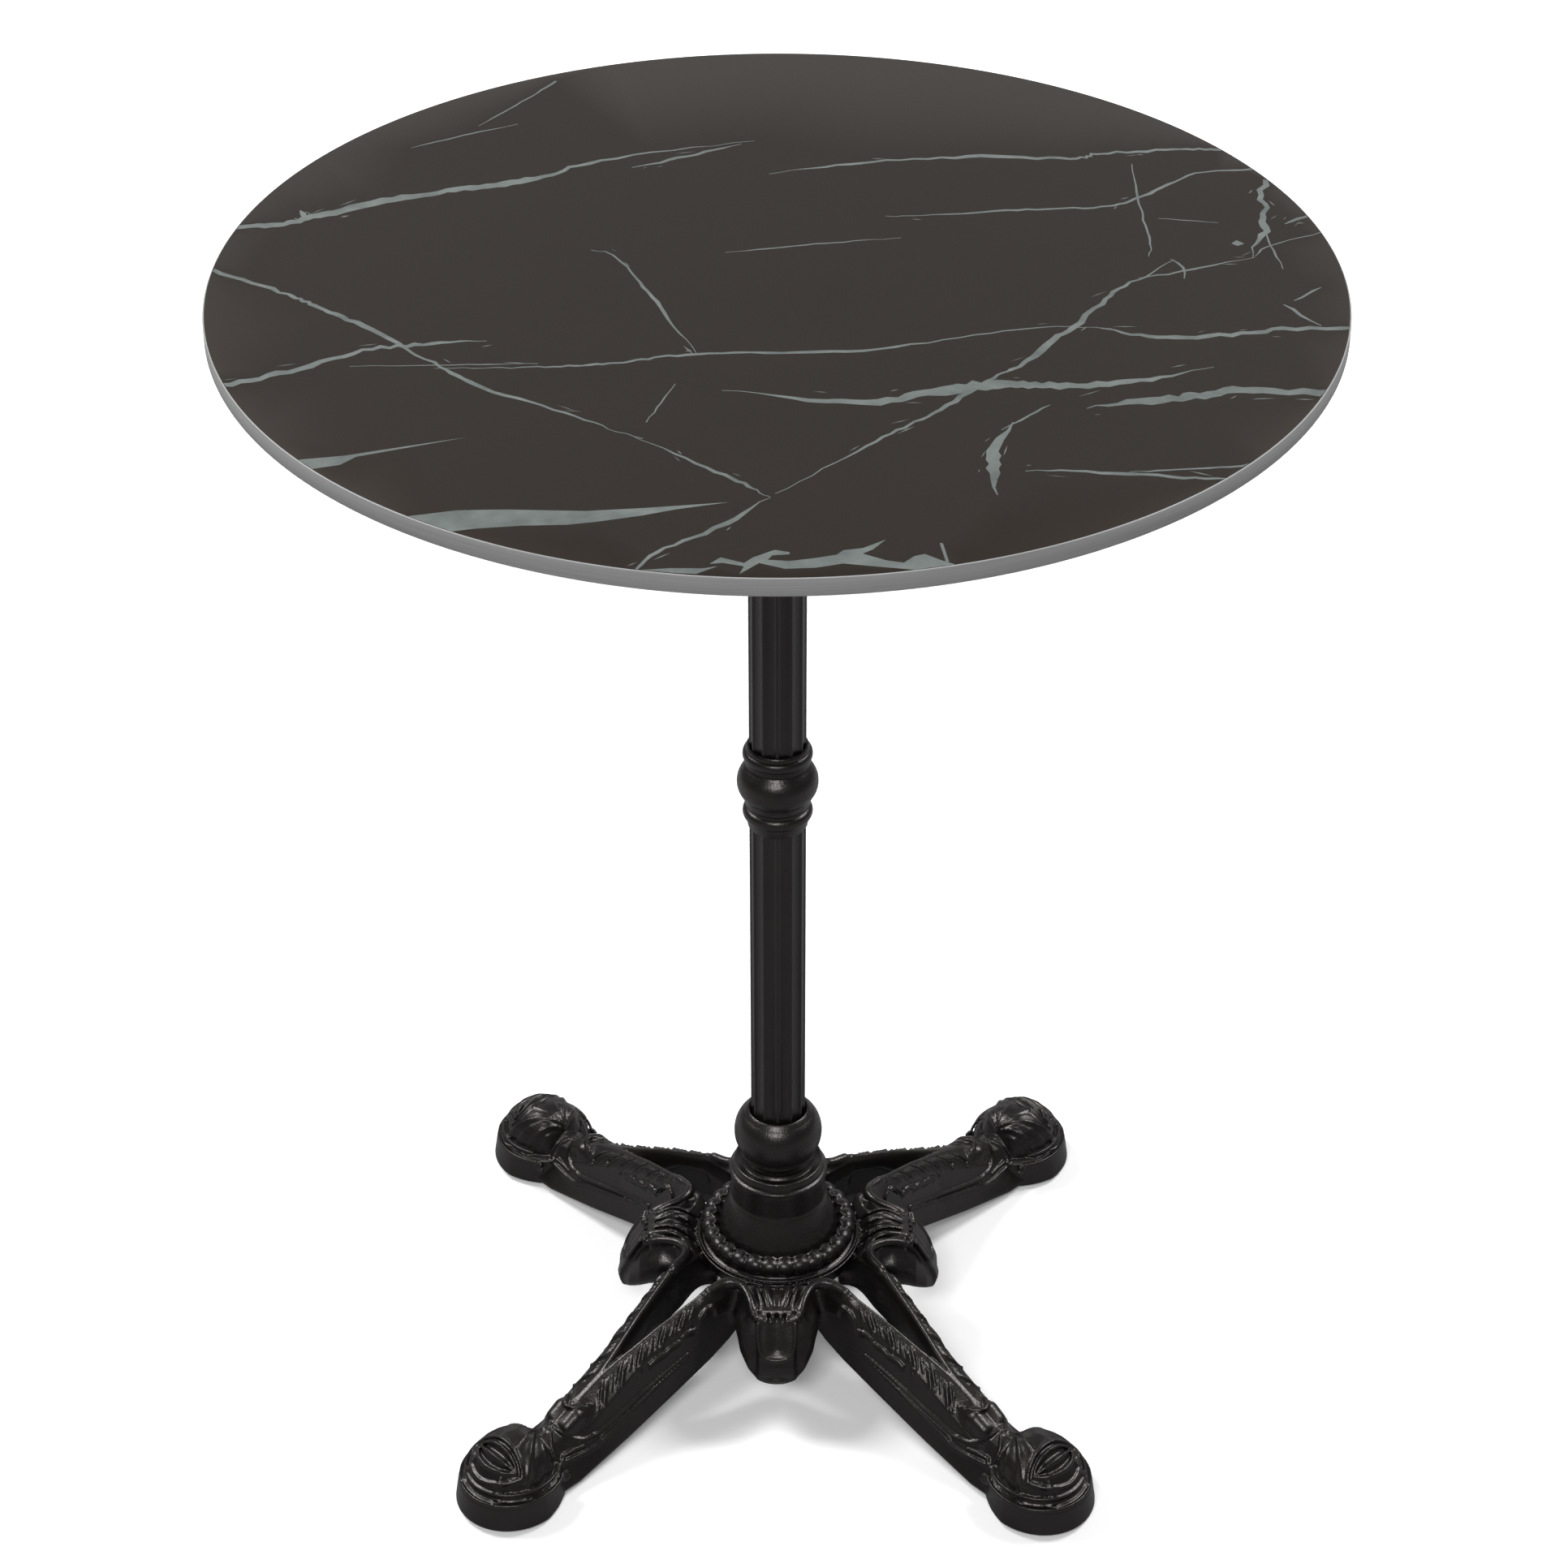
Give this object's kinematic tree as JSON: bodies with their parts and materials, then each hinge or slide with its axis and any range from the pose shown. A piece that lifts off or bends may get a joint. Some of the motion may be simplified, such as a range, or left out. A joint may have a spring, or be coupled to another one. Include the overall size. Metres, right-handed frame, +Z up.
{
  "type": "bistro table",
  "caption": "Small round cafe table: thin laminate disc on a fluted cast-iron column with a ball-shaped knop and a spreading four-legged base with adjustable glides.",
  "frame": {"origin": "on the floor under the middle of the column, with the glides screwed fully in", "axes": "+Z up along the column; the feet point along the diagonals of X and Y, and the knees of the base along X and Y"},
  "size_m": [0.6, 0.6, 0.73],
  "materials": {
    "laminate_top": "satin compact laminate, dark brown-black with grey marble veins and a grey edge",
    "black_casting": "black satin paint over a fine sand-cast grain",
    "zinc_hardware": "bright zinc plate",
    "insert_brass": "turned brass",
    "glide_plastic": "matte black"
  },
  "bodies": {
    "table": {"table_top": "laminate_top", "top_insert_1": "insert_brass", "top_insert_2": "insert_brass", "top_insert_3": "insert_brass", "top_insert_4": "insert_brass", "top_screw_1": "zinc_hardware", "top_screw_2": "zinc_hardware", "top_screw_3": "zinc_hardware", "top_screw_4": "zinc_hardware", "top_spider": "black_casting", "upper_column": "black_casting", "column_knop": "black_casting", "lower_column": "black_casting", "ball_socket": "black_casting", "pedestal_bell": "black_casting", "base_casting": "black_casting", "tie_rod": "zinc_hardware", "upper_washer": "zinc_hardware", "upper_nut": "zinc_hardware", "lower_washer": "zinc_hardware", "lock_washer": "zinc_hardware", "lower_nut": "zinc_hardware"},
    "glide_front_left": {"leveller_pad_front_left": "glide_plastic"},
    "glide_front_right": {"leveller_pad_front_right": "glide_plastic"},
    "glide_back_right": {"leveller_pad_back_right": "glide_plastic"},
    "glide_back_left": {"leveller_pad_back_left": "glide_plastic"},
    "stud_front_left": {"leveller_stud_front_left": "zinc_hardware"},
    "stud_front_right": {"leveller_stud_front_right": "zinc_hardware"},
    "stud_back_right": {"leveller_stud_back_right": "zinc_hardware"},
    "stud_back_left": {"leveller_stud_back_left": "zinc_hardware"}
  },
  "joints": [
    {"name": "glide_front_left_lift", "type": "slide", "parent": "table", "child": "glide_front_left", "axis": [0, 0, -1], "range_m": [0, 0.008]},
    {"name": "glide_front_right_lift", "type": "slide", "parent": "table", "child": "glide_front_right", "axis": [0, 0, -1], "range_m": [0, 0.008]},
    {"name": "glide_back_right_lift", "type": "slide", "parent": "table", "child": "glide_back_right", "axis": [0, 0, -1], "range_m": [0, 0.008]},
    {"name": "glide_back_left_lift", "type": "slide", "parent": "table", "child": "glide_back_left", "axis": [0, 0, -1], "range_m": [0, 0.008]},
    {"name": "stud_front_left_turn", "type": "hinge", "parent": "glide_front_left", "child": "stud_front_left", "pos_m": [-0.16264, -0.16264, 0.01], "axis": [0, 0, -1], "range_deg": [0, 2304]},
    {"name": "stud_front_right_turn", "type": "hinge", "parent": "glide_front_right", "child": "stud_front_right", "pos_m": [0.16264, -0.16264, 0.01], "axis": [0, 0, -1], "range_deg": [0, 2304]},
    {"name": "stud_back_right_turn", "type": "hinge", "parent": "glide_back_right", "child": "stud_back_right", "pos_m": [0.16264, 0.16264, 0.01], "axis": [0, 0, -1], "range_deg": [0, 2304]},
    {"name": "stud_back_left_turn", "type": "hinge", "parent": "glide_back_left", "child": "stud_back_left", "pos_m": [-0.16264, 0.16264, 0.01], "axis": [0, 0, -1], "range_deg": [0, 2304]}
  ],
  "couplings": [
    {"joint": "stud_front_left_turn", "follows": "glide_front_left_lift", "rad_per_m": 5026.5},
    {"joint": "stud_front_right_turn", "follows": "glide_front_right_lift", "rad_per_m": 5026.5},
    {"joint": "stud_back_right_turn", "follows": "glide_back_right_lift", "rad_per_m": 5026.5},
    {"joint": "stud_back_left_turn", "follows": "glide_back_left_lift", "rad_per_m": 5026.5}
  ]
}
